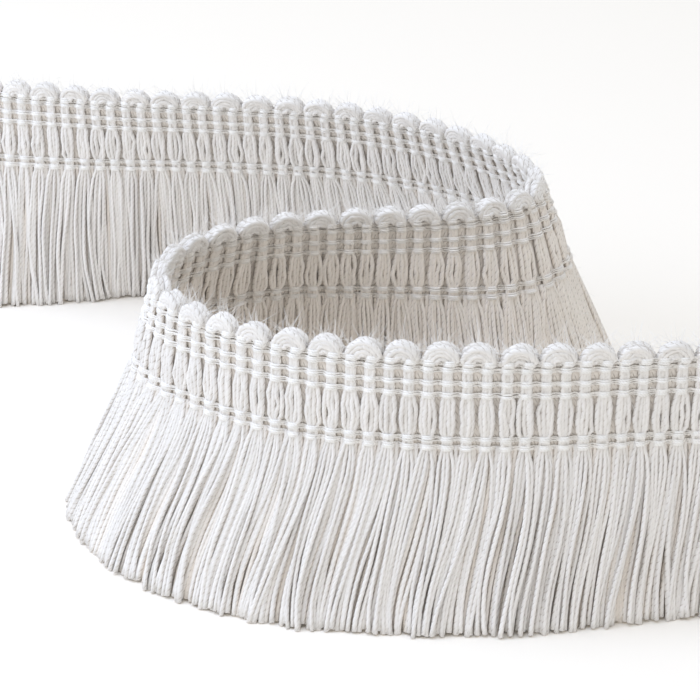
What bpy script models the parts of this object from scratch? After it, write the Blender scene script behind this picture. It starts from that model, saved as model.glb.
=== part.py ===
"""Cut length of cotton fringe trim, standing on its fringe in an S curve.

The trim is first modelled flat, as (along, through, down): the distance along the
heading, the distance through the cloth from its middle, positive on the face, and the
distance down from the top of the loops. lay_on_curve then bends it to its real shape.
"""

import bmesh
import bpy
import numpy as np
from mathutils import Matrix, Vector

# Driving sizes, in metres
TRIM_HEIGHT = 0.048
HEADING_HEIGHT = 0.018
LOOP_COUNT = 56
LOOP_RISE = 0.0026
RIB_DEPTH = 0.0027
GROOVE_DEPTH = 0.0015
SEAT_GAP = 0.0003
STRIP_HEIGHT = 0.0014
LOCKS_PER_LOOP = 4
LOCK_WIDTH = 0.00105
LOCK_DEPTH = 0.0018
LOCK_STEPS = 2

# Plan of the S curve, walked from the right-hand cut end with the face on the left.
# Turn is clockwise from above. Heading out, tip out and sweep hold at the row's start:
# how far the heading's lower edge and the fringe's tips stand out towards the face,
# and how far the tips are combed along the walk.
SECTIONS = [
    # name,              length, turn, heading_out, tip_out, sweep
    ("right_hand_end", 0.043, 0, -0.0010, 0.0010, 0.0020),
    ("front_run", 0.041, 21, 0.0002, 0.0062, 0.0040),
    ("front_shoulder", 0.024, 29, 0.0010, 0.0100, 0.0055),
    ("left_bend_front", 0.013, 40, 0.0010, 0.0118, 0.0065),
    ("left_bend_back", 0.016, 48, 0.0045, 0.0165, 0.0060),
    ("behind_left_bend", 0.025, 41, 0.0060, 0.0190, 0.0030),
    ("middle_run", 0.017, -2, 0.0038, 0.0095, 0.0000),
    ("into_right_bend", 0.016, -24, 0.0010, 0.0010, 0.0000),
    ("right_bend", 0.016, -76, -0.0045, -0.0120, 0.0000),
    ("behind_right_bend", 0.020, -27, -0.0068, -0.0200, 0.0000),
    ("back_sweep", 0.040, -35, -0.0070, -0.0215, 0.0000),
    ("back_run", 0.024, -2, -0.0055, -0.0165, 0.0005),
    ("left_hand_end", 0.046, 14, -0.0042, -0.0122, 0.0010),
    ("left_cut_end", 0.0, 0, 0.0025, 0.0095, 0.0015),
]
START_POINT = (0.0815, -0.0561)
START_DIRECTION_DEG = 184.5
BEND_BLUR = 0.007
PLAN_STEP = 0.00025

# Locks of yarn sway along the walk in slow waves, so that they stand unevenly.
SWAYS = [
    # amplitude, wavelength, phase
    (0.0007, 0.0210, 0.4),
    (0.0004, 0.0097, 2.1),
]
SWAY_FREE_END = 0.010
COMBING_POWER = 1.5

# The fringe is built in runs, each short and straight enough to be nearly flat.
LONGEST_RUN_LOOPS = 5
GREATEST_RUN_TURN_DEG = 38

# Heading rows below the loops: where the binding threads draw the ribs in, and
# where the ribs swell between them.
HEADING_ROWS = [
    # down,   share of RIB_DEPTH
    (0.0040, 0.86),
    (0.0084, 0.86),
    (0.0121, 1.00),
    (0.0158, 0.86),
    (0.0180, 0.82),
]
# One loop of the heading: notch, first rib, groove, second rib.
RIB_COLUMNS = [
    # share of a loop, fall of the edge below the loop's top, is a rib
    (0.00, LOOP_RISE, False),
    (0.25, 0.0004, True),
    (0.50, 0.0, False),
    (0.75, 0.0004, True),
]
EDGE_DEPTH_SHARE = 0.62

YARN_COLOUR = (0.80, 0.785, 0.76, 1.0)
YARN_ROUGHNESS = 0.9


def blurred(values):
    """Values sampled every PLAN_STEP, smoothed over BEND_BLUR on each side."""
    reach = int(BEND_BLUR / PLAN_STEP) + 1
    kernel = np.hanning(2 * reach + 1)
    padded = np.pad(values, (reach, reach), mode="edge")
    return np.convolve(padded, kernel / kernel.sum(), mode="valid")


def running_sum(values, step):
    """Integral of the sampled values from the walk's start."""
    return np.concatenate([[0.0], np.cumsum((values[1:] + values[:-1]) / 2 * step)])


def make_plan():
    """Samples of the heading's middle line and of the fringe's set along it."""
    lengths = [row[1] for row in SECTIONS]
    edges = np.concatenate([[0.0], np.cumsum(lengths)])
    total = float(edges[-1])
    along = np.linspace(0.0, total, int(round(total / PLAN_STEP)) + 1)
    step = along[1] - along[0]
    bend = np.zeros(len(along))
    for row, begin, end in zip(SECTIONS[:-1], edges[:-2], edges[1:-1]):
        inside = (along >= begin) & (along <= end)
        bend[inside] = np.radians(row[2]) / row[1]
    direction = np.radians(START_DIRECTION_DEG) - running_sum(blurred(bend), step)
    plan = {
        "along": along,
        "x": START_POINT[0] + running_sum(np.cos(direction), step),
        "y": START_POINT[1] + running_sum(np.sin(direction), step),
        "direction": direction,
    }
    for column, name in enumerate(("heading_out", "tip_out", "sweep"), start=3):
        at_rows = np.interp(along, edges[:-1], [row[column] for row in SECTIONS])
        plan[name] = blurred(at_rows)
    return plan


PLAN = make_plan()
TRIM_LENGTH = float(PLAN["along"][-1])
LOOP_PITCH = TRIM_LENGTH / LOOP_COUNT


def plan_at(name, along):
    """One of the plan's sampled values at a distance along the heading."""
    return float(np.interp(along, PLAN["along"], PLAN[name]))


def sway(along):
    """How far the tips are pushed along the walk, dying out at the two cut ends."""
    hold = min(1.0, along / SWAY_FREE_END, (TRIM_LENGTH - along) / SWAY_FREE_END)
    waves = [a * np.sin(2 * np.pi * along / wave + p) for a, wave, p in SWAYS]
    return hold * sum(waves)


def lay_on_curve(along, through, down):
    """The point of the standing trim for a point of the flat one."""
    direction = plan_at("direction", along)
    ahead = Vector((np.cos(direction), np.sin(direction), 0.0))
    face = Vector((-ahead.y, ahead.x, 0.0))
    centre = Vector((plan_at("x", along), plan_at("y", along), 0.0))
    out = plan_at("heading_out", along) * min(down / HEADING_HEIGHT, 1.0)
    combed = 0.0
    if down > HEADING_HEIGHT:
        share = (down - HEADING_HEIGHT) / (TRIM_HEIGHT - HEADING_HEIGHT)
        out += share * (plan_at("tip_out", along) - plan_at("heading_out", along))
        combed = (plan_at("sweep", along) + sway(along)) * share**COMBING_POWER
    point = centre + face * (out + through) + ahead * combed
    point.z = TRIM_HEIGHT - down
    return point


def yarn_material(name):
    """Matt, off-white cotton."""
    material = bpy.data.materials.new(name)
    material.use_nodes = True
    shader = material.node_tree.nodes["Principled BSDF"]
    shader.inputs["Base Color"].default_value = YARN_COLOUR
    shader.inputs["Roughness"].default_value = YARN_ROUGHNESS
    shader.inputs["Metallic"].default_value = 0.0
    material.diffuse_color = YARN_COLOUR
    return material


def add_object(name, flat, material, collection, parent, origin):
    """Bends a flat bmesh to the curve and places it as an object about its origin."""
    for vert in flat.verts:
        vert.co = lay_on_curve(*vert.co)
    bmesh.ops.recalc_face_normals(flat, faces=flat.faces)
    if flat.calc_volume(signed=True) < 0:
        bmesh.ops.reverse_faces(flat, faces=flat.faces)
    mesh = bpy.data.meshes.new(name)
    flat.to_mesh(mesh)
    flat.free()
    mesh.transform(Matrix.Translation(-origin))
    mesh.materials.append(material)
    piece = bpy.data.objects.new(name, mesh)
    collection.objects.link(piece)
    piece.parent = parent
    piece.location = origin
    return piece


def flat_heading():
    """The woven heading, flat: ribs with grooves between, loops along the top edge."""
    columns = [
        (loop * LOOP_PITCH + share * LOOP_PITCH, fall, is_rib)
        for loop in range(LOOP_COUNT)
        for share, fall, is_rib in RIB_COLUMNS
    ]
    columns.append((TRIM_LENGTH, LOOP_RISE, False))
    last_column = len(columns) - 1
    last_row = len(HEADING_ROWS)
    flat = bmesh.new()
    column_of = flat.verts.layers.int.new("column")
    row_of = flat.verts.layers.int.new("row")
    bmesh.ops.create_grid(flat, x_segments=last_column, y_segments=last_row, size=0.5)
    for vert in flat.verts:
        vert[column_of] = round((vert.co.x + 0.5) * last_column)
        vert[row_of] = round((0.5 - vert.co.y) * last_row)
        vert.co = (vert.co.x, 0.0, vert.co.y)
    flat.normal_update()
    bmesh.ops.solidify(flat, geom=flat.faces[:], thickness=GROOVE_DEPTH)
    middle = sum(vert.co.y for vert in flat.verts) / len(flat.verts)
    for vert in flat.verts:
        side = 1 if vert.co.y > middle else -1
        along, fall, is_rib = columns[vert[column_of]]
        row = vert[row_of]
        share = EDGE_DEPTH_SHARE if row == 0 else HEADING_ROWS[row - 1][1]
        depth = RIB_DEPTH * share if is_rib else GROOVE_DEPTH * share
        down = fall if row == 0 else HEADING_ROWS[row - 1][0]
        vert.co = (along, side * depth / 2, down)
    return flat


def flat_fringe_run(first_loop, last_loop):
    """Locks of yarn, flat, fused at their roots into a narrow strip."""
    lock_pitch = LOOP_PITCH / LOCKS_PER_LOOP
    margin = (lock_pitch - LOCK_WIDTH) / 2
    count = (last_loop - first_loop) * LOCKS_PER_LOOP
    begin = first_loop * LOOP_PITCH
    cuts = []
    for lock in range(count):
        start = begin + lock * lock_pitch + margin
        cuts += [start, start + LOCK_WIDTH]
    strip_top = HEADING_HEIGHT + SEAT_GAP
    strip_bottom = strip_top + STRIP_HEIGHT
    flat = bmesh.new()
    bmesh.ops.create_grid(flat, x_segments=len(cuts) - 1, y_segments=1, size=0.5)
    for vert in flat.verts:
        column = round((vert.co.x + 0.5) * (len(cuts) - 1))
        side = 1 if vert.co.y > 0 else -1
        vert.co = (cuts[column], side * LOCK_DEPTH / 2, strip_bottom)
    roots = sorted(flat.faces, key=lambda face: face.calc_center_median().x)[::2]
    walls = bmesh.ops.extrude_face_region(flat, geom=flat.faces[:], use_keep_orig=True)
    for item in walls["geom"]:
        if isinstance(item, bmesh.types.BMVert):
            item.co.z = strip_top
    for step in range(1, LOCK_STEPS + 1):
        down = strip_bottom + (TRIM_HEIGHT - strip_bottom) * step / LOCK_STEPS
        roots = bmesh.ops.extrude_discrete_faces(flat, faces=roots)["faces"]
        for face in roots:
            for vert in face.verts:
                vert.co.z = down
    return flat


def fringe_runs():
    """First and last loop of each run, kept short where the trim bends."""
    runs = []
    first = 0
    for loop in range(1, LOOP_COUNT + 1):
        here = plan_at("direction", first * LOOP_PITCH)
        ahead = plan_at("direction", min(loop + 1, LOOP_COUNT) * LOOP_PITCH)
        too_bent = abs(np.degrees(ahead - here)) > GREATEST_RUN_TURN_DEG
        if loop - first == LONGEST_RUN_LOOPS or too_bent or loop == LOOP_COUNT:
            runs.append((first, loop))
            first = loop
    return runs


def main():
    for old in list(bpy.data.objects):
        bpy.data.objects.remove(old, do_unlink=True)
    collection = bpy.data.collections.new("fringe_trim")
    bpy.context.scene.collection.children.link(collection)
    parent = bpy.data.objects.new("fringe_trim", None)
    collection.objects.link(parent)

    heading_origin = lay_on_curve(TRIM_LENGTH / 2, 0.0, HEADING_HEIGHT)
    add_object(
        "heading",
        flat_heading(),
        yarn_material("heading_yarn"),
        collection,
        parent,
        heading_origin,
    )

    fringe_material = yarn_material("fringe_yarn")
    for number, (first_loop, last_loop) in enumerate(fringe_runs(), start=1):
        middle = (first_loop + last_loop) / 2 * LOOP_PITCH
        add_object(
            f"fringe_{number:02d}",
            flat_fringe_run(first_loop, last_loop),
            fringe_material,
            collection,
            parent,
            lay_on_curve(middle, 0.0, HEADING_HEIGHT),
        )


main()
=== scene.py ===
"""Looks of the cotton fringe trim: its looped, bound heading and its loose two-ply yarns.

Yarns are laid out flat first, as (along, through, down), and lay() bends them to the
standing S curve. Lengths are in metres unless a name ends in MM or mm. A value named
VARIES is the usual size of a random difference.
"""

import math

import bpy
import numpy as np
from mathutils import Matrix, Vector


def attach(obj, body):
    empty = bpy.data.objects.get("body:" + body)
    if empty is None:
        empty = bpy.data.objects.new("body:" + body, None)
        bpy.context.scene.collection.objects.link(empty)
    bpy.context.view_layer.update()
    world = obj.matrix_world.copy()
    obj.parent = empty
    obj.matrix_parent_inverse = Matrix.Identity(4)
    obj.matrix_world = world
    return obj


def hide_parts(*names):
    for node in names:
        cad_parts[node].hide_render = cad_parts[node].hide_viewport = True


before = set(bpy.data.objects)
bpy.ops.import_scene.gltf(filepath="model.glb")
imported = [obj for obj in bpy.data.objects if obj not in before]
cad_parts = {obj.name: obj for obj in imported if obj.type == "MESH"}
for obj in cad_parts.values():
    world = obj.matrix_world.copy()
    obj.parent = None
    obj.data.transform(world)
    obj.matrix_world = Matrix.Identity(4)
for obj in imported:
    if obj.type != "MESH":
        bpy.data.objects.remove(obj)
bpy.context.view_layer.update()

BODY = "root"
SEED = 20
MM = 0.001
UP = np.array([0.0, 0.0, 1.0])

# The trim's own sizes, as in its solids
TRIM_HEIGHT = 0.048
HEADING_HEIGHT = 0.018
LOOP_COUNT = 56

# Plan of the S curve, walked from the right-hand cut end with the face on the left.
# Turn is clockwise from above. Heading out, tip out and sweep hold at the row's start.
SECTIONS = [
    # name,              length, turn, heading_out, tip_out, sweep
    ("right_hand_end", 0.043, 0, -0.0010, 0.0010, 0.0020),
    ("front_run", 0.041, 21, 0.0002, 0.0062, 0.0040),
    ("front_shoulder", 0.024, 29, 0.0010, 0.0100, 0.0055),
    ("left_bend_front", 0.013, 40, 0.0010, 0.0118, 0.0065),
    ("left_bend_back", 0.016, 48, 0.0045, 0.0165, 0.0060),
    ("behind_left_bend", 0.025, 41, 0.0060, 0.0190, 0.0030),
    ("middle_run", 0.017, -2, 0.0038, 0.0095, 0.0000),
    ("into_right_bend", 0.016, -24, 0.0010, 0.0010, 0.0000),
    ("right_bend", 0.016, -76, -0.0045, -0.0120, 0.0000),
    ("behind_right_bend", 0.020, -27, -0.0068, -0.0200, 0.0000),
    ("back_sweep", 0.040, -35, -0.0070, -0.0215, 0.0000),
    ("back_run", 0.024, -2, -0.0055, -0.0165, 0.0005),
    ("left_hand_end", 0.046, 14, -0.0042, -0.0122, 0.0010),
    ("left_cut_end", 0.0, 0, 0.0025, 0.0095, 0.0015),
]
START_POINT = (0.0815, -0.0561)
START_DIRECTION_DEG = 184.5
BEND_BLUR = 0.007
PLAN_STEP = 0.00025

# Camera: the photograph's viewing angle, looking along +Y and down
CAMERA_PLACE = (0.0039, -0.4103, 0.2173)
CAMERA_PITCH_DEG = 25.9
CAMERA_LENS_MM = 129.4
CAMERA_SENSOR_MM = 36.0
CAMERA_CLIP_START = 0.01

# Yarn bundles of the heading: two outer rows and one between them
YARN_RADIUS = 0.00043
YARN_RADIUS_VARIES = 0.04
YARN_SIDES = 6
BUNDLE_ROWS = [
    # through, yarns, step, how much its rib draws it in
    (0.00084, 4, 0.00074, 1.00),
    (0.00000, 3, 0.00100, 0.12),
    (-0.00084, 4, 0.00074, 1.00),
]
INNER_ROW = 1
INNER_ROW_DEEPEST = 0.0054
BUNDLE_VARIES = 0.00007

# How a rib's bundle is drawn in and how deep it is, down the heading
RIB_PROFILE = [
    # down,   width, depth, yarn radius share
    (0.0030, 0.56, 0.86, 0.94),
    (0.0036, 0.50, 0.88, 0.94),
    (0.0043, 0.43, 0.84, 0.90),
    (0.0053, 0.46, 0.92, 0.96),
    (0.0064, 0.43, 0.84, 0.90),
    (0.0074, 0.47, 0.92, 0.96),
    (0.0084, 0.45, 0.84, 0.90),
    (0.0095, 0.70, 1.00, 1.00),
    (0.0112, 0.86, 1.08, 1.03),
    (0.0130, 0.90, 1.10, 1.04),
    (0.0148, 0.80, 1.02, 1.02),
    (0.0158, 0.46, 0.86, 0.90),
    (0.0167, 0.51, 0.92, 0.95),
    (0.0175, 0.47, 0.86, 0.90),
    (0.0179, 0.50, 0.88, 0.92),
]
LEG_VARIES = 0.00015
BELLY_VARIES = 0.07
BELLY_WIDTHS = (0.6, 0.9)

# The arch of a loop, and how its two legs lead into the ribs
ARCH_CENTRE_DOWN = 0.00315
ARCH_RADIUS = 0.00168
ARCH_RADIUS_VARIES = 0.00006
ARCH_LEAN = -0.00045
ARCH_LEAN_VARIES = 0.00012
ARCH_WIDTH = 0.80
ARCH_DEPTH = 0.92
ARCH_FULLNESS = 1.17
ARCH_VARIES = 0.00005
ARCH_ANGLES_DEG = (16, 40, 65, 90, 115, 140, 164)
ARCH_TWIST_DEG = 6
TWIST_DOWNS = (0.0034, 0.0070)
FOOT_SHARE = 0.5
FOOT_DOWNS = (0.0030, 0.0042)

# The thin ribbed sheet inside the heading
CORE_DOWNS = (0.0032, 0.0192)
CORE_END_GAP = 0.0002
CORE_ROWS = 9
CORE_YARNS_PER_RIB = 4
CORE_COLUMNS_PER_YARN = 4
CORE_DEPTH = 0.00024
CORE_RIDGE = 0.00014
# Painted warm shade over the whole sheet
CORE_SHADE = 0.45

# Binding threads: the middle of each row, and its threads above and below it
BINDING_DOWNS = (0.0030, 0.0041, 0.0064, 0.0084, 0.0160, 0.0175)
BINDING_THREADS = [
    # down from the row's middle, how far out it lies over a gap and over a rib
    (-0.00029, 0.00048, 0.00121),
    (0.00000, 0.00047, 0.00131),
    (0.00029, 0.00048, 0.00121),
]
THREAD_PATH = [
    # place from a rib's middle in rib spacings, share of the way out from gap to rib
    (-0.5, 0.0),
    (-0.305, 0.32),
    (-0.175, 0.94),
    (0.0, 1.04),
    (0.175, 0.94),
    (0.305, 0.32),
]
THREAD_RADIUS = 0.000210
THREAD_THINNED = 0.62
THREAD_SIDES = 6
REVERSE_THREAD_SIDES = 4
THREAD_OUT_VARIES = 0.00003
THREAD_DOWN_VARIES = 0.00004
THREAD_SAG = 0.00006
# Painted warm shade on the threads: in the gaps on the face; on the reverse, less of it over the
# ribs
THREAD_GAP_SHADE = 0.3
THREAD_RIB_LESS_SHADE = 0.45

# Rows of the fringe. Its steps are shares of a loose yarn's length from its root, and so
# is each value named BY, where a change is complete.
FRINGE_STEPS = (0.0, 0.04, 0.10, 0.18, 0.28, 0.39, 0.51, 0.63, 0.75, 0.86, 0.95, 1.0)
FRINGE_TOP = 0.0172
FRINGE_ROWS = [
    # through, yarns per rib, first place, how much its rib draws it in, share of the
    # locks' drift, radius
    (0.00090, 3.6, 0.5, 1.0, 1.00, 0.00037),
    (0.00045, 4.5, 0.0, 0.3, 0.25, 0.00045),
    (-0.00045, 4.5, 0.5, 0.3, 0.25, 0.00045),
    (-0.00090, 3.6, 0.0, 1.0, 1.00, 0.00037),
]
MOST_STRETCH = 2.2

# Stretches of the trim whose fringe is one joined mesh, as shares of its length
FRINGE_STRETCHES = [(0.0, 0.34), (0.34, 0.67), (0.67, 1.01)]

# Locks, which a row's yarns gather in: large ones, and small ones within them
LOCKS = [
    # widths, shares drawn in, swing, bow, how far out, how domed
    ((0.0034, 0.0074), (0.08, 0.28), 0.00080, 0.00050, 0.00022, 0.00022),
    ((0.0014, 0.0030), (0.05, 0.35), 0.00042, 0.00028, 0.00014, 0.00010),
]
MOST_LOCKS = 400
LOCK_SWING_POWER = 1.3
LOCK_DRAWN_BY = 0.6
LOCK_OUT_BY = 0.7

# Single fringe yarns: how each one differs from its lock. An outward place is its set.
OPENED_BY = 0.14
LEAST_LOOSE = 0.3
SWING_VARIES = 0.00042
SWING_POWER = 1.5
BOW_VARIES = 0.00026
ALTERNATE_SET = 0.00017
SET_VARIES = 0.00015
SET_BY = 0.5
STRAY_CHANCE = 0.035
STRAY_SWING_VARIES = 0.0018
STRAY_SET = 0.00045
WAVE_OUT = (0.00010, 5)
WAVE_ALONG = (0.00008, 12)
WAVES_BY = 0.2
CUT_END_RANGE = 0.0007
CUT_END_FROM = 0.9
CUT_END_FULLER = 0.15
ROOT_THINNER = 0.12
FRINGE_RADIUS_VARIES = 0.08

# Loose fibres, on the loops and on the yarns below
FIBRE_COUNT = 3200
FIBRE_RADIUS = 0.000038
FIBRE_TAPER = 0.6
FIBRE_SIDES = 4
FIBRE_STEPS = 4
FIBRE_LENGTHS = (0.0008, 0.0036)
FIBRE_PATH_SCALE = 0.7
FIBRES_ON_LOOPS = 0.72
LOOP_FIBRE_HALF_TURNS = (0.15, 0.85)
LOOP_FIBRE_REACH = ARCH_RADIUS + 0.0010
LOOP_FIBRE_THROUGH = 0.0008
LOOP_FIBRE_OUT = 0.5
YARN_FIBRE_DOWNS = (0.004, 0.046)
YARN_FIBRE_THROUGH = 0.0012
YARN_FIBRE_LENGTH = 0.5
FIBRE_START_VARIES = 0.55
FIBRE_CURL_VARIES = 1.1
NEARLY_NOTHING = 1e-6

# Colours, and where the painted warm shade shows, inside the trim and on its reverse
YARN_COLOUR = (0.918, 0.889, 0.859)
# Painted shade in the grooves between the plies
GROOVE_SHADE_COLOUR = (0.58, 0.53, 0.47)
PAINTED_SHADE_COLOUR = (0.93, 0.838, 0.735)
SHADE_DEPTHS = (0.00095, 0.00045)
SHADE_DOWNS = (0.0024, 0.0046)
INNER_SHADE_SHARE = 0.60
REVERSE_SHADE_SHARE = 0.50
THREAD_COLOUR = (0.99, 0.975, 0.952)
# Painted shade in the thread's grooves between its plies
THREAD_GROOVE_SHADE_COLOUR = (0.89, 0.872, 0.85)
FIBRE_COLOUR = (0.97, 0.95, 0.925)

# Marks of spun yarn: its twist, how uneven that is, and the fine fibres along each ply.
# A yarn's tone, from -1 to 1, also moves its marks along, so that no two are alike.
PLY_MARK_MM = 1.25
THREAD_MARK_MM = 0.45
PLY_ROUNDNESS = 0.7
PLY_FRONT_RELIEF = 0.35
SIDE_POWER = 2.0
# How far across a ply the painted groove shade reaches
GROOVE_SHADE_REACH = 0.50
UNEVEN_SCALE = 0.35
UNEVEN_DETAIL = 1.0
UNEVEN_PHASE = 3.0
FINE_ROUND = 3.0
FINE_SCALE = 1.0
FINE_DETAIL = 3.0
FINE_RELIEF = 1.3
TONE_TO_UNEVEN = 70.0
TONE_TO_PHASE = 40.0
TONE_TO_FINE = 90.0
LIGHTNESS = 0.955
TONE_LIGHTNESS = 0.035
FINE_LIGHTNESS = 0.10
BUMP_STRENGTH = 1.0
SHEEN_ROUGHNESS = 0.45

# Studio
FLOOR_SIZE = 6.0
FLOOR_COLOUR = (0.975, 0.924, 0.845)
SKY_COLOUR = (0.99, 0.987, 0.968)
SKY_STRENGTH = 0.68
LAMP_COLOUR = (0.88, 1.01, 1.27)
LAMPS = [
    # name, place, target, size, power
    ("key", (-0.60, -0.12, 0.42), (0.0, 0.0, 0.02), 0.40, 1.4),
    ("overhead", (-0.25, -0.10, 1.20), (0.0, 0.0, 0.0), 0.9, 5.55),
]

rng = np.random.default_rng(SEED)


def unit(vectors):
    """The vectors at length 1."""
    return vectors / np.linalg.norm(vectors, axis=-1, keepdims=True)


def rise(values, begin, end):
    """0 at begin and 1 at end, level at both; begin may be the larger of the two."""
    held = np.clip((values - begin) / (end - begin), 0.0, 1.0)
    return held * held * (3 - 2 * held)


def blurred(values):
    """Values sampled every PLAN_STEP, smoothed over BEND_BLUR on each side."""
    reach = int(BEND_BLUR / PLAN_STEP) + 1
    kernel = np.hanning(2 * reach + 1)
    padded = np.pad(values, (reach, reach), mode="edge")
    return np.convolve(padded, kernel / kernel.sum(), mode="valid")


def running_sum(values, step):
    """Integral of the sampled values from the walk's start."""
    return np.concatenate([[0.0], np.cumsum((values[1:] + values[:-1]) / 2 * step)])


def make_plan():
    """Samples of the heading's middle line and of the fringe's set along it."""
    edges = np.concatenate([[0.0], np.cumsum([row[1] for row in SECTIONS])])
    total = float(edges[-1])
    along = np.linspace(0.0, total, int(round(total / PLAN_STEP)) + 1)
    step = along[1] - along[0]
    bend = np.zeros(len(along))
    for row, begin, end in zip(SECTIONS[:-1], edges[:-2], edges[1:-1]):
        inside = (along >= begin) & (along <= end)
        bend[inside] = np.radians(row[2]) / row[1]
    direction = np.radians(START_DIRECTION_DEG) - running_sum(blurred(bend), step)
    plan = {
        "along": along,
        "x": START_POINT[0] + running_sum(np.cos(direction), step),
        "y": START_POINT[1] + running_sum(np.sin(direction), step),
        "direction": direction,
    }
    for column, name in enumerate(("heading_out", "tip_out", "sweep"), start=3):
        at_rows = np.interp(along, edges[:-1], [row[column] for row in SECTIONS])
        plan[name] = blurred(at_rows)
    return plan


PLAN = make_plan()
TRIM_LENGTH = float(PLAN["along"][-1])
LOOP_PITCH = TRIM_LENGTH / LOOP_COUNT
LOOP_CENTRES = (np.arange(LOOP_COUNT) + 0.5) * LOOP_PITCH
RIB_PITCH = LOOP_PITCH / 2
RIB_CENTRES = (np.arange(2 * LOOP_COUNT) + 0.5) * RIB_PITCH


def plan_at(name, along):
    """Sampled values of the plan at distances along the heading."""
    return np.interp(along, PLAN["along"], PLAN[name])


def lay(along, through, down):
    """Standing points for flat places, with the face's and the walk's directions."""
    along, through, down = np.broadcast_arrays(along, through, down)
    direction = plan_at("direction", along)
    level = np.zeros_like(direction)
    ahead = np.stack([np.cos(direction), np.sin(direction), level], axis=-1)
    face = np.stack([-np.sin(direction), np.cos(direction), level], axis=-1)
    points = np.stack([plan_at("x", along), plan_at("y", along), TRIM_HEIGHT - down], -1)
    past_end = along - np.clip(along, 0.0, TRIM_LENGTH)
    share = np.clip((down - HEADING_HEIGHT) / (TRIM_HEIGHT - HEADING_HEIGHT), 0.0, None)
    heading_out = plan_at("heading_out", along)
    out = heading_out * np.clip(down / HEADING_HEIGHT, None, 1.0)
    out = out + share * (plan_at("tip_out", along) - heading_out)
    combed = plan_at("sweep", along) * rise(share, 0.0, 1.0)
    points = points + face * (out + through)[..., None]
    points = points + ahead * (combed + past_end)[..., None]
    return points, face, ahead


def cap_quads(sides):
    """Quads that close a ring with an even number of sides."""
    return [(0, i, i + 1, i + 2) for i in range(1, sides - 2, 2)]


def tubes(points, radii, across, sides):
    """Closed tubes along rows of points: vertices, quads and (length, turn) per corner.

    across is a direction that no tube runs along, for each point. No vertex goes below
    the surface that the trim stands on.
    """
    count, rings = points.shape[:2]
    tangent = unit(np.gradient(points, axis=1))
    side = unit(np.cross(tangent, across))
    lift = np.cross(side, tangent)
    angle = 2 * np.pi * np.arange(sides) / sides
    ring = np.cos(angle)[:, None] * side[:, :, None] + np.sin(angle)[:, None] * lift[:, :, None]
    vertices = points[:, :, None] + radii[:, :, None, None] * ring
    vertices[..., 2] = np.maximum(vertices[..., 2], 0.0)

    index = np.arange(count * rings * sides).reshape(count, rings, sides)
    beside = np.roll(index, -1, axis=2)
    walls = np.stack(
        [index[:, :-1], index[:, 1:], beside[:, 1:], beside[:, :-1]], axis=-1
    )
    start_caps = np.stack([index[:, 0][:, list(quad)] for quad in cap_quads(sides)], 1)
    end_caps = np.stack([index[:, -1][:, list(quad[::-1])] for quad in cap_quads(sides)], 1)
    quads = np.concatenate([part.reshape(-1, 4) for part in (walls, start_caps, end_caps)])

    steps = np.linalg.norm(np.diff(points, axis=1), axis=-1)
    length = np.concatenate([np.zeros((count, 1)), np.cumsum(steps, axis=1)], axis=1)
    length_mm = np.repeat((length / MM)[:, :, None], sides, axis=2).ravel()
    turn = np.tile(np.arange(sides) / sides, count * rings)
    corners = np.stack([length_mm[quads], turn[quads]], axis=-1)
    wrapped = corners[: walls.size // 4].reshape(count, rings - 1, sides, 4, 2)
    wrapped[:, :, -1, 2:, 1] = 1.0
    return vertices.reshape(-1, 3), quads, corners


def add_piece(name, shape, values, material):
    """One joined mesh of quads, with a number for each vertex under each name.

    shape is its vertices, its quads and, for each corner of a quad, its place on the yarn:
    millimetres along it and the turn round it.
    """
    vertices, quads, corners = shape
    mesh = bpy.data.meshes.new(name)
    mesh.vertices.add(len(vertices))
    mesh.vertices.foreach_set("co", vertices.astype(np.float32).ravel())
    mesh.loops.add(quads.size)
    mesh.loops.foreach_set("vertex_index", quads.astype(np.int32).ravel())
    mesh.polygons.add(len(quads))
    mesh.polygons.foreach_set("loop_start", np.arange(0, quads.size, 4, dtype=np.int32))
    mesh.update(calc_edges=True)
    mesh.shade_smooth()
    yarn_map = mesh.uv_layers.new(name="Yarn")
    yarn_map.uv.foreach_set("vector", corners.astype(np.float32).ravel())
    for key, numbers in values.items():
        attribute = mesh.attributes.new(key, "FLOAT", "POINT")
        attribute.data.foreach_set("value", numbers.astype(np.float32).ravel())
    mesh.materials.append(material)
    piece = bpy.data.objects.new(name, mesh)
    bpy.context.scene.collection.objects.link(piece)
    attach(piece, BODY)
    return piece


def per_vertex(by_tube, rings, sides):
    """One number for each tube, repeated for each of its vertices."""
    return np.repeat(by_tube, rings * sides)


class Nodes:
    """A short way to write a material's node tree."""

    def __init__(self, name):
        self.material = bpy.data.materials.new(name)
        self.material.use_nodes = True
        self.tree = self.material.node_tree
        self.shader = self.tree.nodes["Principled BSDF"]

    def add(self, kind, **settings):
        """A new node with the settings given."""
        node = self.tree.nodes.new("ShaderNode" + kind)
        for key, value in settings.items():
            setattr(node, key, value)
        return node

    def put(self, value, socket):
        """Links an output to the socket, or sets a plain value on it."""
        if isinstance(value, bpy.types.NodeSocket):
            self.tree.links.new(value, socket)
        else:
            socket.default_value = value

    def math(self, operation, *values):
        """A math node's output, for plain values or the outputs of other nodes."""
        node = self.add("Math", operation=operation)
        for value, socket in zip(values, node.inputs):
            self.put(value, socket)
        return node.outputs[0]

    def mix(self, share, first, second):
        """A colour between the first and, at a share of 1, the second."""
        node = self.add("Mix", data_type="RGBA")
        self.put(share, node.inputs[0])
        self.put(first, node.inputs[6])
        self.put(second, node.inputs[7])
        return node.outputs[2]

    def noise(self, place, scale, detail):
        """Noise at a place that is given by its x, y and, where it has one, z."""
        joined = self.add("CombineXYZ")
        for value, socket in zip(place, joined.inputs):
            self.put(value, socket)
        node = self.add("TexNoise")
        self.put(joined.outputs[0], node.inputs["Vector"])
        self.put(scale, node.inputs["Scale"])
        self.put(detail, node.inputs["Detail"])
        return node.outputs[0]

    def value_of(self, name):
        """A named number of the mesh."""
        return self.add("Attribute", attribute_name=name).outputs["Fac"]


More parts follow.
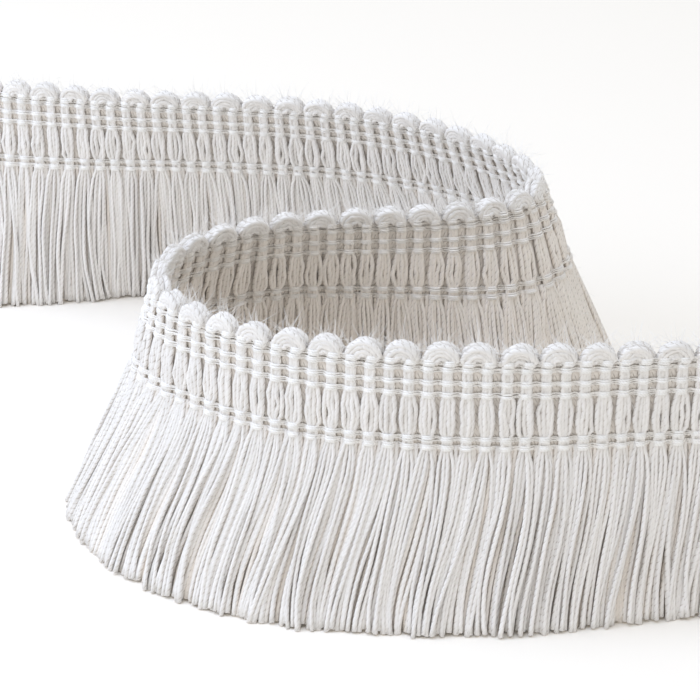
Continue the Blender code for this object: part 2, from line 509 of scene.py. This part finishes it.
def spun_yarn(name, colour, groove_shade_colour, mark_mm, relief, at_front, roughness, sheen):
    """Two plies twisted round each other, with fine fibres along each ply, and painted shade
    in the groove between the plies, darkest at the yarn's sides where two yarns meet.

    at_front is how strong the painted shade in the groove is on the front of the yarn, as a
    share of how strong it is where two yarns meet, and it makes the groove's bump deeper there
    too.
    """
    nodes = Nodes(name)
    place = nodes.add("SeparateXYZ")
    nodes.put(nodes.add("UVMap", uv_map="Yarn").outputs[0], place.inputs[0])
    length_mm, turn = place.outputs[0], place.outputs[1]
    tone = nodes.value_of("tone")
    round_angle = nodes.math("MULTIPLY", turn, 2 * math.pi)

    uneven_place = (length_mm, nodes.math("MULTIPLY", tone, TONE_TO_UNEVEN))
    uneven = nodes.noise(uneven_place, UNEVEN_SCALE, UNEVEN_DETAIL)
    phase = nodes.math("MULTIPLY_ADD", length_mm, math.pi / mark_mm, round_angle)
    phase = nodes.math("MULTIPLY_ADD", tone, TONE_TO_PHASE, phase)
    phase = nodes.math("MULTIPLY_ADD", uneven, UNEVEN_PHASE, phase)
    across_ply = nodes.math("ABSOLUTE", nodes.math("SINE", phase))
    ply = nodes.math("POWER", across_ply, PLY_ROUNDNESS)

    fine_place = (
        nodes.math("MULTIPLY", nodes.math("SINE", phase), FINE_ROUND),
        nodes.math("MULTIPLY", nodes.math("COSINE", phase), FINE_ROUND),
        nodes.math("MULTIPLY_ADD", tone, TONE_TO_FINE, length_mm),
    )
    fine = nodes.noise(fine_place, FINE_SCALE, FINE_DETAIL)

    beside = nodes.math("POWER", nodes.math("COSINE", round_angle), SIDE_POWER)
    beside = nodes.math("MULTIPLY_ADD", beside, 1.0 - at_front, at_front)
    deeper = nodes.math("MULTIPLY_ADD", beside, 1.0 - PLY_FRONT_RELIEF, PLY_FRONT_RELIEF)
    ply = nodes.math("MULTIPLY", ply, deeper)
    bump = nodes.add("Bump")
    nodes.put(BUMP_STRENGTH, bump.inputs["Strength"])
    nodes.put(relief, bump.inputs["Distance"])
    nodes.put(nodes.math("MULTIPLY_ADD", fine, FINE_RELIEF, ply), bump.inputs["Height"])
    nodes.put(bump.outputs[0], nodes.shader.inputs["Normal"])

    # Painted shade: the groove between the plies is darkened, most at the yarn's sides where two
    # yarns meet
    groove = nodes.add("MapRange", interpolation_type="SMOOTHSTEP")
    nodes.put(across_ply, groove.inputs["Value"])
    nodes.put(GROOVE_SHADE_REACH, groove.inputs["From Max"])
    nodes.put(1.0, groove.inputs["To Min"])
    nodes.put(0.0, groove.inputs["To Max"])
    groove = nodes.math("MULTIPLY", groove.outputs["Result"], beside)
    # Painted warm shade, inside the trim and on its reverse
    warm = nodes.mix(nodes.value_of("painted_shade"), (*colour, 1.0), (*PAINTED_SHADE_COLOUR, 1.0))
    groove_shaded = nodes.mix(groove, warm, (*groove_shade_colour, 1.0))
    lightness = nodes.math("MULTIPLY_ADD", tone, TONE_LIGHTNESS, LIGHTNESS)
    lightness = nodes.math("MULTIPLY_ADD", fine, FINE_LIGHTNESS, lightness)
    shade = nodes.add("HueSaturation")
    nodes.put(lightness, shade.inputs["Value"])
    nodes.put(groove_shaded, shade.inputs["Color"])
    nodes.put(shade.outputs[0], nodes.shader.inputs["Base Color"])
    nodes.put(roughness, nodes.shader.inputs["Roughness"])
    nodes.put(sheen, nodes.shader.inputs["Sheen Weight"])
    nodes.put(SHEEN_ROUGHNESS, nodes.shader.inputs["Sheen Roughness"])
    return nodes.material


def plain_material(name, colour, roughness):
    """One even colour, for the loose fibres and the floor."""
    nodes = Nodes(name)
    nodes.put((*colour, 1.0), nodes.shader.inputs["Base Color"])
    nodes.put(roughness, nodes.shader.inputs["Roughness"])
    return nodes.material


def bundle():
    """A bundle's yarns: outward from the loop's middle, through, drawn in, row."""
    yarns = []
    for row, (through, count, step, drawn) in enumerate(BUNDLE_ROWS):
        places = (np.arange(count) - (count - 1) / 2) * step
        yarns += [(place, through, drawn, row) for place in places]
    return np.array(yarns).T


OUTWARD, THROUGH, DRAWN, ROW = bundle()


def rib_profile(down):
    """Width, depth and yarn radius shares of a rib at depths down the heading."""
    downs = [row[0] for row in RIB_PROFILE]
    return [np.interp(down, downs, [row[i] for row in RIB_PROFILE]) for i in (1, 2, 3)]


def turned(outward, through, angle):
    """A bundle's places, turned about its middle."""
    return (
        outward * np.cos(angle) - through * np.sin(angle),
        outward * np.sin(angle) + through * np.cos(angle),
    )


def leg_shift(sign, lean, down):
    """How far a loop's leg is moved along, near the top, towards the foot of its arch."""
    top, straight = FOOT_DOWNS
    to_foot = sign * (ARCH_RADIUS - RIB_PITCH / 2) + lean
    return to_foot * FOOT_SHARE * rise(down, straight, top)


def heading_yarns(chosen, deepest):
    """Flat paths of the chosen yarns of every loop: up one rib, over and down the next."""
    downs = np.array([row[0] for row in RIB_PROFILE if row[0] <= deepest])[::-1]
    width, depth, radius = rib_profile(downs)
    shape = (LOOP_COUNT, int(chosen.sum()))
    outward = (OUTWARD[chosen] + rng.normal(0, BUNDLE_VARIES, shape))[..., None]
    through = (THROUGH[chosen] + rng.normal(0, BUNDLE_VARIES, shape))[..., None]
    middle = LOOP_CENTRES[:, None, None]
    wander = rng.normal(0, LEG_VARIES, (2, 2, *shape, len(downs)))
    belly = rng.normal(1, BELLY_VARIES, (2, LOOP_COUNT, 1, 1))
    lean = ARCH_LEAN + rng.normal(0, ARCH_LEAN_VARIES, (LOOP_COUNT, 1, 1))
    drawn_width = 1 - DRAWN[chosen][:, None] * (1 - width)
    twist_full, twist_none = TWIST_DOWNS
    twisted = np.radians(ARCH_TWIST_DEG) * rise(downs, twist_none, twist_full)
    legs = []
    for number, sign in enumerate((-1, 1)):
        fuller = 1 + (belly[number] - 1) * rise(width, *BELLY_WIDTHS)
        spread, inside = turned(outward * drawn_width * fuller, through * depth, -sign * twisted)
        centre = sign * RIB_PITCH / 2 + leg_shift(sign, lean, downs)
        leg_along = middle + centre + sign * spread + wander[number, 0] * width**2
        legs.append((leg_along, inside + wander[number, 1] * width**2))

    angle = np.radians(ARCH_ANGLES_DEG)
    twist = np.radians(ARCH_TWIST_DEG) * np.cos(angle)
    uneven = rng.normal(0, ARCH_VARIES, (2, *shape, len(angle)))
    spread, arch_through = turned(outward * ARCH_WIDTH, through * ARCH_DEPTH, twist)
    reach = ARCH_RADIUS + rng.normal(0, ARCH_RADIUS_VARIES, (LOOP_COUNT, 1, 1))
    reach = reach + spread + uneven[0]
    arch_through = arch_through + uneven[1]
    arch_along = middle + lean - reach * np.cos(angle)
    arch_down = ARCH_CENTRE_DOWN - reach * np.sin(angle)

    leg_down = np.broadcast_to(downs, legs[0][0].shape)
    along = np.concatenate([legs[0][0], arch_along, legs[1][0][..., ::-1]], axis=-1)
    down = np.concatenate([leg_down, arch_down, leg_down[..., ::-1]], axis=-1)
    out = np.concatenate([legs[0][1], arch_through, legs[1][1][..., ::-1]], axis=-1)
    thickness = np.concatenate([radius, np.full(len(angle), ARCH_FULLNESS), radius[::-1]])
    radii = YARN_RADIUS * thickness * rng.normal(1, YARN_RADIUS_VARIES, (*shape, 1))
    rings = along.shape[-1]
    return [part.reshape(-1, rings) for part in (along, out, down, radii)]


def painted_shade_share(through, down):
    """How much painted warm shade shows: inside the trim, and less of it on its reverse."""
    outer, inner = SHADE_DEPTHS
    inside = INNER_SHADE_SHARE * rise(np.abs(through), outer, inner)
    reverse = REVERSE_SHADE_SHARE * rise(-through, 0.0, inner)
    return np.maximum(inside, reverse) * rise(down, *SHADE_DOWNS)


def add_yarns(name, flat, material):
    """One joined mesh of yarns from their flat paths."""
    along, through, down, radii = flat
    points, face, _ = lay(along, through, down)
    ring = np.sin(2 * np.pi * np.arange(YARN_SIDES) / YARN_SIDES)
    values = {
        "tone": per_vertex(rng.uniform(-1, 1, len(along)), points.shape[1], YARN_SIDES),
        # Painted warm shade by depth: inside the trim and on its reverse
        "painted_shade": painted_shade_share(through[:, :, None] + radii[:, :, None] * ring, down[:, :, None]),
    }
    shape = tubes(points, radii, face, YARN_SIDES)
    return add_piece(name, shape, values, material)


def add_heading(material):
    """The heading's yarns: the outer rows in two joined meshes, the inner row in one.

    The first mesh ends half-way along the trim, where the second one begins.
    """
    flat = heading_yarns(ROW != INNER_ROW, HEADING_HEIGHT)
    half = len(flat[0]) // 2
    pieces = []
    for name, part in (("heading_front", slice(0, half)), ("heading_back", slice(half, None))):
        some = [column[part] for column in flat]
        pieces.append(add_yarns(name, some, material))
    flat = heading_yarns(ROW == INNER_ROW, INNER_ROW_DEEPEST)
    pieces.append(add_yarns("heading_inner", flat, material))
    return pieces


def add_heading_core(material):
    """The yarns in the middle of the heading, as one thin ribbed sheet, and its flat size."""
    top, bottom = CORE_DOWNS
    columns = len(RIB_CENTRES) * CORE_YARNS_PER_RIB * CORE_COLUMNS_PER_YARN
    along = np.linspace(CORE_END_GAP, TRIM_LENGTH - CORE_END_GAP, columns + 1)
    down = np.linspace(top, bottom, CORE_ROWS)
    yarn_turn = along / RIB_PITCH * CORE_YARNS_PER_RIB / 2
    depth = CORE_DEPTH + CORE_RIDGE * np.abs(np.sin(2 * np.pi * yarn_turn))
    grid_along, grid_down = np.meshgrid(along, down, indexing="ij")
    shells = [lay(grid_along, side * depth[:, None], grid_down)[0] for side in (1, -1)]
    vertices = np.concatenate([shell.reshape(-1, 3) for shell in shells])
    face, back = np.arange(len(vertices)).reshape(2, columns + 1, CORE_ROWS)
    quads = [
        np.stack([face[:-1, :-1], face[1:, :-1], face[1:, 1:], face[:-1, 1:]], -1),
        np.stack([back[:-1, :-1], back[:-1, 1:], back[1:, 1:], back[1:, :-1]], -1),
        np.stack([face[:-1, 0], back[:-1, 0], back[1:, 0], face[1:, 0]], -1),
        np.stack([face[:-1, -1], face[1:, -1], back[1:, -1], back[:-1, -1]], -1),
        np.stack([face[0, :-1], face[0, 1:], back[0, 1:], back[0, :-1]], -1),
        np.stack([face[-1, :-1], back[-1, :-1], back[-1, 1:], face[-1, 1:]], -1),
    ]
    quads = np.concatenate([part.reshape(-1, 4) for part in quads])
    flat = np.stack([grid_down / MM, np.broadcast_to(yarn_turn[:, None], grid_down.shape)], -1)
    corners = np.concatenate([flat.reshape(-1, 2)] * 2)[quads]
    # The sheet has an even painted warm shade all over
    values = {"tone": np.zeros(len(vertices)), "painted_shade": np.full(len(vertices), CORE_SHADE)}
    core = add_piece("heading_core", (vertices, quads, corners), values, material)
    return core, (bottom - top, TRIM_LENGTH)


def add_bindings(material):
    """The rows of fine thread that draw the ribs in, on the face and on the reverse.

    Painted warm shade shows on the threads in the gaps between the ribs, and on the reverse
    about half of it on the ribs too.
    """
    ribs = len(RIB_CENTRES)
    at_rib, over = np.array(THREAD_PATH).T
    on_rib = over > 0
    sign = np.tile([-1, 1], LOOP_COUNT)[:, None]
    share = np.tile(over, ribs)
    for name, side, sides in (
        ("binding_face", 1, THREAD_SIDES),
        ("binding_reverse", -1, REVERSE_THREAD_SIDES),
    ):
        paths = []
        for row_down in BINDING_DOWNS:
            moved = leg_shift(sign, ARCH_LEAN, row_down) * on_rib
            along = (RIB_CENTRES[:, None] + at_rib * RIB_PITCH + moved).ravel()
            for offset, gap_out, rib_out in BINDING_THREADS:
                lift = rng.normal(0, THREAD_OUT_VARIES, ribs).repeat(len(at_rib))
                out = gap_out + (rib_out - gap_out) * share + lift
                drop = rng.normal(0, THREAD_DOWN_VARIES, ribs).repeat(len(at_rib))
                down = row_down + offset + drop + THREAD_SAG * (1 - share)
                paths.append((along, side * out, down))
        flat = [np.array([path[i] for path in paths]) for i in range(3)]
        points, _, _ = lay(*flat)
        radii = THREAD_RADIUS * (THREAD_THINNED + (1 - THREAD_THINNED) * share)
        radii = np.broadcast_to(radii, points.shape[:2])
        shape = tubes(points, radii, np.broadcast_to(UP, points.shape), sides)
        tone = rng.uniform(-1, 1, len(paths))
        # Painted warm shade: in the gaps on the face, and on the reverse over the ribs as well
        painted_shade = THREAD_GAP_SHADE * (1 - share)
        if side < 0:
            painted_shade = REVERSE_SHADE_SHARE * (1 - THREAD_RIB_LESS_SHADE * share)
        values = {
            "tone": per_vertex(tone, points.shape[1], sides),
            "painted_shade": np.tile(per_vertex(painted_shade, 1, sides), len(paths)),
        }
        add_piece(name, shape, values, material)


def lock_drift(along, through, settings):
    """How far each yarn of a row drifts with its lock: functions, sideways and outward."""
    widths_range, draw_range, swing, bow, out, dome = settings
    widths = rng.uniform(*widths_range, MOST_LOCKS)
    edges = np.cumsum(widths) - rng.uniform(0, widths_range[0])
    lock = np.searchsorted(edges, along)
    from_middle = along - (edges - widths / 2)[lock]
    draw = rng.uniform(*draw_range, MOST_LOCKS)[lock]
    swing, bow, out = (rng.normal(0, size, MOST_LOCKS)[lock] for size in (swing, bow, out))
    domed = dome * (1 - (2 * from_middle / widths[lock]) ** 2) * np.sign(through)

    def sideways(share):
        gathered = -(draw * from_middle)[:, None] * rise(share, 0.0, LOCK_DRAWN_BY)
        swung = swing[:, None] * share**LOCK_SWING_POWER
        return gathered + swung + bow[:, None] * np.sin(np.pi * share)

    def outward(share):
        return (out + domed)[:, None] * rise(share, 0.0, LOCK_OUT_BY)

    return sideways, outward


def yarn_places(per_rib, first):
    """Places along the heading that are closer together where the fringe flares out."""
    along = PLAN["along"]
    tips, _, _ = lay(along, 0.0, TRIM_HEIGHT)
    step = along[1] - along[0]
    stretch = np.linalg.norm(np.gradient(tips, axis=0), axis=-1) / step
    order = running_sum(per_rib / RIB_PITCH * np.clip(stretch, 1.0, MOST_STRETCH), step)
    return np.interp(np.arange(int(order[-1])) + first, order, along)


def waves(size_and_radians, share, phase):
    """A slight wave down each yarn of a row, which begins level at the root."""
    size, radians = size_and_radians
    return size * np.sin(radians * share + phase[:, None]) * rise(share, 0.0, WAVES_BY)


def fringe_row(row):
    """Flat paths of one row of the loose yarns, and their places as shares of the trim."""
    share = np.array(FRINGE_STEPS)
    row_through, per_rib, first, drawn, drift, radius = row
    root_width, root_depth, _ = rib_profile(FRINGE_TOP)
    places = yarn_places(per_rib, first)
    count = len(places)
    root = RIB_CENTRES[np.minimum((places / RIB_PITCH).astype(int), len(RIB_CENTRES) - 1)]
    outward = places - root + rng.normal(0, BUNDLE_VARIES, count)
    through = row_through + rng.normal(0, BUNDLE_VARIES, count)

    opened = rise(share, 0.0, OPENED_BY)
    spread = 1 - drawn * (1 - root_width) * (1 - opened)
    along = root[:, None] + outward[:, None] * spread
    out = through[:, None] * (root_depth + (1.0 - root_depth) * opened)
    for settings in LOCKS:
        sideways, outwards = lock_drift(root + outward, through, settings)
        along = along + drift * sideways(share)
        out = out + drift * outwards(share)

    loose = LEAST_LOOSE + (1 - LEAST_LOOSE) * drift
    swing = loose * rng.normal(0, SWING_VARIES, count)
    bow = loose * rng.normal(0, BOW_VARIES, count)
    stray = rng.random(count) < STRAY_CHANCE * drift
    swing = np.where(stray, rng.normal(0, STRAY_SWING_VARIES, count), swing)
    alternate = ALTERNATE_SET * (-1.0) ** np.arange(count)
    own_set = alternate + rng.normal(0, SET_VARIES, count)
    own_set = np.where(stray, STRAY_SET * np.sign(through), own_set)
    phase = rng.uniform(0, 2 * np.pi, (3, count))
    along = along + swing[:, None] * share**SWING_POWER
    along = along + bow[:, None] * np.sin(2 * np.pi * share + phase[0][:, None]) * share
    out = out + own_set[:, None] * rise(share, 0.0, SET_BY)
    out = out + waves(WAVE_OUT, share, phase[1])
    along = along + waves(WAVE_ALONG, share, phase[2])

    length = TRIM_HEIGHT - FRINGE_TOP - rng.uniform(0, CUT_END_RANGE, count)
    down = FRINGE_TOP + share * length[:, None]
    end = rise(share, CUT_END_FROM, 1.0)
    thickness = 1 + CUT_END_FULLER * end - ROOT_THINNER * (1 - opened)
    radii = radius * thickness * rng.normal(1, FRINGE_RADIUS_VARIES, (count, 1))
    return [along, out, down, radii], places / TRIM_LENGTH


def add_fringe(material):
    """The loose yarns, in one joined mesh for each stretch of the trim."""
    rows = [fringe_row(row) for row in FRINGE_ROWS]
    flat = [np.concatenate([row[0][i] for row in rows]) for i in range(4)]
    place = np.concatenate([row[1] for row in rows])
    pieces = []
    for number, (begin, end) in enumerate(FRINGE_STRETCHES, start=1):
        part = (place >= begin) & (place < end)
        some = [column[part] for column in flat]
        name = f"fringe_yarns_{number}"
        pieces.append(add_yarns(name, some, material))
    return pieces


def add_loose_fibres(material):
    """Fine hairs that stand out of the loops, and fewer from the yarns below."""
    on_loop = rng.random(FIBRE_COUNT) < FIBRES_ON_LOOPS
    loop = rng.integers(0, LOOP_COUNT, FIBRE_COUNT)
    angle = rng.uniform(*LOOP_FIBRE_HALF_TURNS, FIBRE_COUNT) * np.pi
    side = rng.choice([-1.0, 1.0], FIBRE_COUNT)
    along = LOOP_CENTRES[loop] + ARCH_LEAN - LOOP_FIBRE_REACH * np.cos(angle)
    down = ARCH_CENTRE_DOWN - LOOP_FIBRE_REACH * np.sin(angle)
    through = side * rng.uniform(0.0, LOOP_FIBRE_THROUGH, FIBRE_COUNT)
    along = np.where(on_loop, along, rng.uniform(0, TRIM_LENGTH, FIBRE_COUNT))
    down = np.where(on_loop, down, rng.uniform(*YARN_FIBRE_DOWNS, FIBRE_COUNT))
    through = np.where(on_loop, through, side * YARN_FIBRE_THROUGH)

    start, face, ahead = lay(along, through, down)
    out = face * side[:, None]
    radial = ahead * -np.cos(angle)[:, None] + UP * np.sin(angle)[:, None]
    loose = rng.normal(0, 1, (2, FIBRE_COUNT, 3))
    away = np.where(on_loop[:, None], radial + LOOP_FIBRE_OUT * out, out)
    first = unit(away + FIBRE_START_VARIES * loose[0])
    second = unit(away + FIBRE_CURL_VARIES * loose[1])
    length = rng.uniform(*FIBRE_LENGTHS, FIBRE_COUNT)
    length = length * np.where(on_loop, 1.0, YARN_FIBRE_LENGTH)
    share = np.linspace(0, 1, FIBRE_STEPS)[:, None]
    path = length[:, None, None] * (share * first[:, None] + share**2 * second[:, None])
    points = start[:, None] + path * FIBRE_PATH_SCALE
    points[..., 2] = np.maximum(points[..., 2], FIBRE_RADIUS)
    radii = np.broadcast_to(FIBRE_RADIUS * (1 - FIBRE_TAPER * share[:, 0]), points.shape[:2])
    across = unit(np.cross(first, second) + NEARLY_NOTHING)
    across = np.broadcast_to(across[:, None], points.shape)
    add_piece("loose_fibres", tubes(points, radii, across, FIBRE_SIDES), {}, material)


def add_camera():
    """The photograph's view."""
    lens = bpy.data.cameras.new("camera")
    lens.lens = CAMERA_LENS_MM
    lens.sensor_width = CAMERA_SENSOR_MM
    lens.clip_start = CAMERA_CLIP_START
    camera = bpy.data.objects.new("camera", lens)
    camera.location = CAMERA_PLACE
    camera.rotation_euler = (math.radians(90 - CAMERA_PITCH_DEG), 0.0, 0.0)
    bpy.context.scene.collection.objects.link(camera)
    bpy.context.scene.camera = camera


def add_lamp(name, place, target, size, power):
    """A round soft light at a place, turned to a target."""
    lamp = bpy.data.lights.new(name, "AREA")
    lamp.shape = "DISK"
    lamp.size = size
    lamp.energy = power
    lamp.color = LAMP_COLOUR
    light = bpy.data.objects.new(name, lamp)
    light.location = place
    aim = Vector(target) - Vector(place)
    light.rotation_euler = aim.to_track_quat("-Z", "Y").to_euler()
    bpy.context.scene.collection.objects.link(light)


def add_studio():
    """A plain pale floor and soft light, brighter from the left."""
    bpy.ops.mesh.primitive_plane_add(size=FLOOR_SIZE, location=(0.0, 0.0, 0.0))
    floor = bpy.context.object
    floor.name = "floor"
    floor.data.materials.append(plain_material("floor_white", FLOOR_COLOUR, roughness=0.9))

    world = bpy.data.worlds.new("studio")
    world.use_nodes = True
    sky = world.node_tree.nodes["Background"]
    sky.inputs["Color"].default_value = (*SKY_COLOUR, 1.0)
    sky.inputs["Strength"].default_value = SKY_STRENGTH
    bpy.context.scene.world = world
    for lamp in LAMPS:
        add_lamp(*lamp)
    bpy.context.scene.view_settings.view_transform = "Standard"


def cover_solids(heading, fringe):
    """Hides the solid nodes that the yarns stand for: the heading, and the fringe nodes shared
    out over the fringe pieces.
    """
    for piece in heading:
        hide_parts("heading")
    names = sorted(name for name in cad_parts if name.startswith("fringe_"))
    share = len(names) / len(fringe)
    for number, piece in enumerate(fringe):
        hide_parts(*names[round(number * share) : round((number + 1) * share)])


add_camera()
yarn = spun_yarn(
    "cotton_yarn", YARN_COLOUR, GROOVE_SHADE_COLOUR, PLY_MARK_MM,
    relief=0.00009, at_front=0.06, roughness=0.9, sheen=0.25,
)
thread = spun_yarn(
    "binding_thread", THREAD_COLOUR, THREAD_GROOVE_SHADE_COLOUR, THREAD_MARK_MM,
    relief=0.00003, at_front=1.0, roughness=0.38, sheen=0.1,
)
heading = add_heading(yarn)
fringe = add_fringe(yarn)
add_bindings(thread)
add_loose_fibres(plain_material("cotton_fibre", FIBRE_COLOUR, roughness=0.8))
core, core_size = add_heading_core(yarn)
cover_solids(heading, fringe)
add_studio()
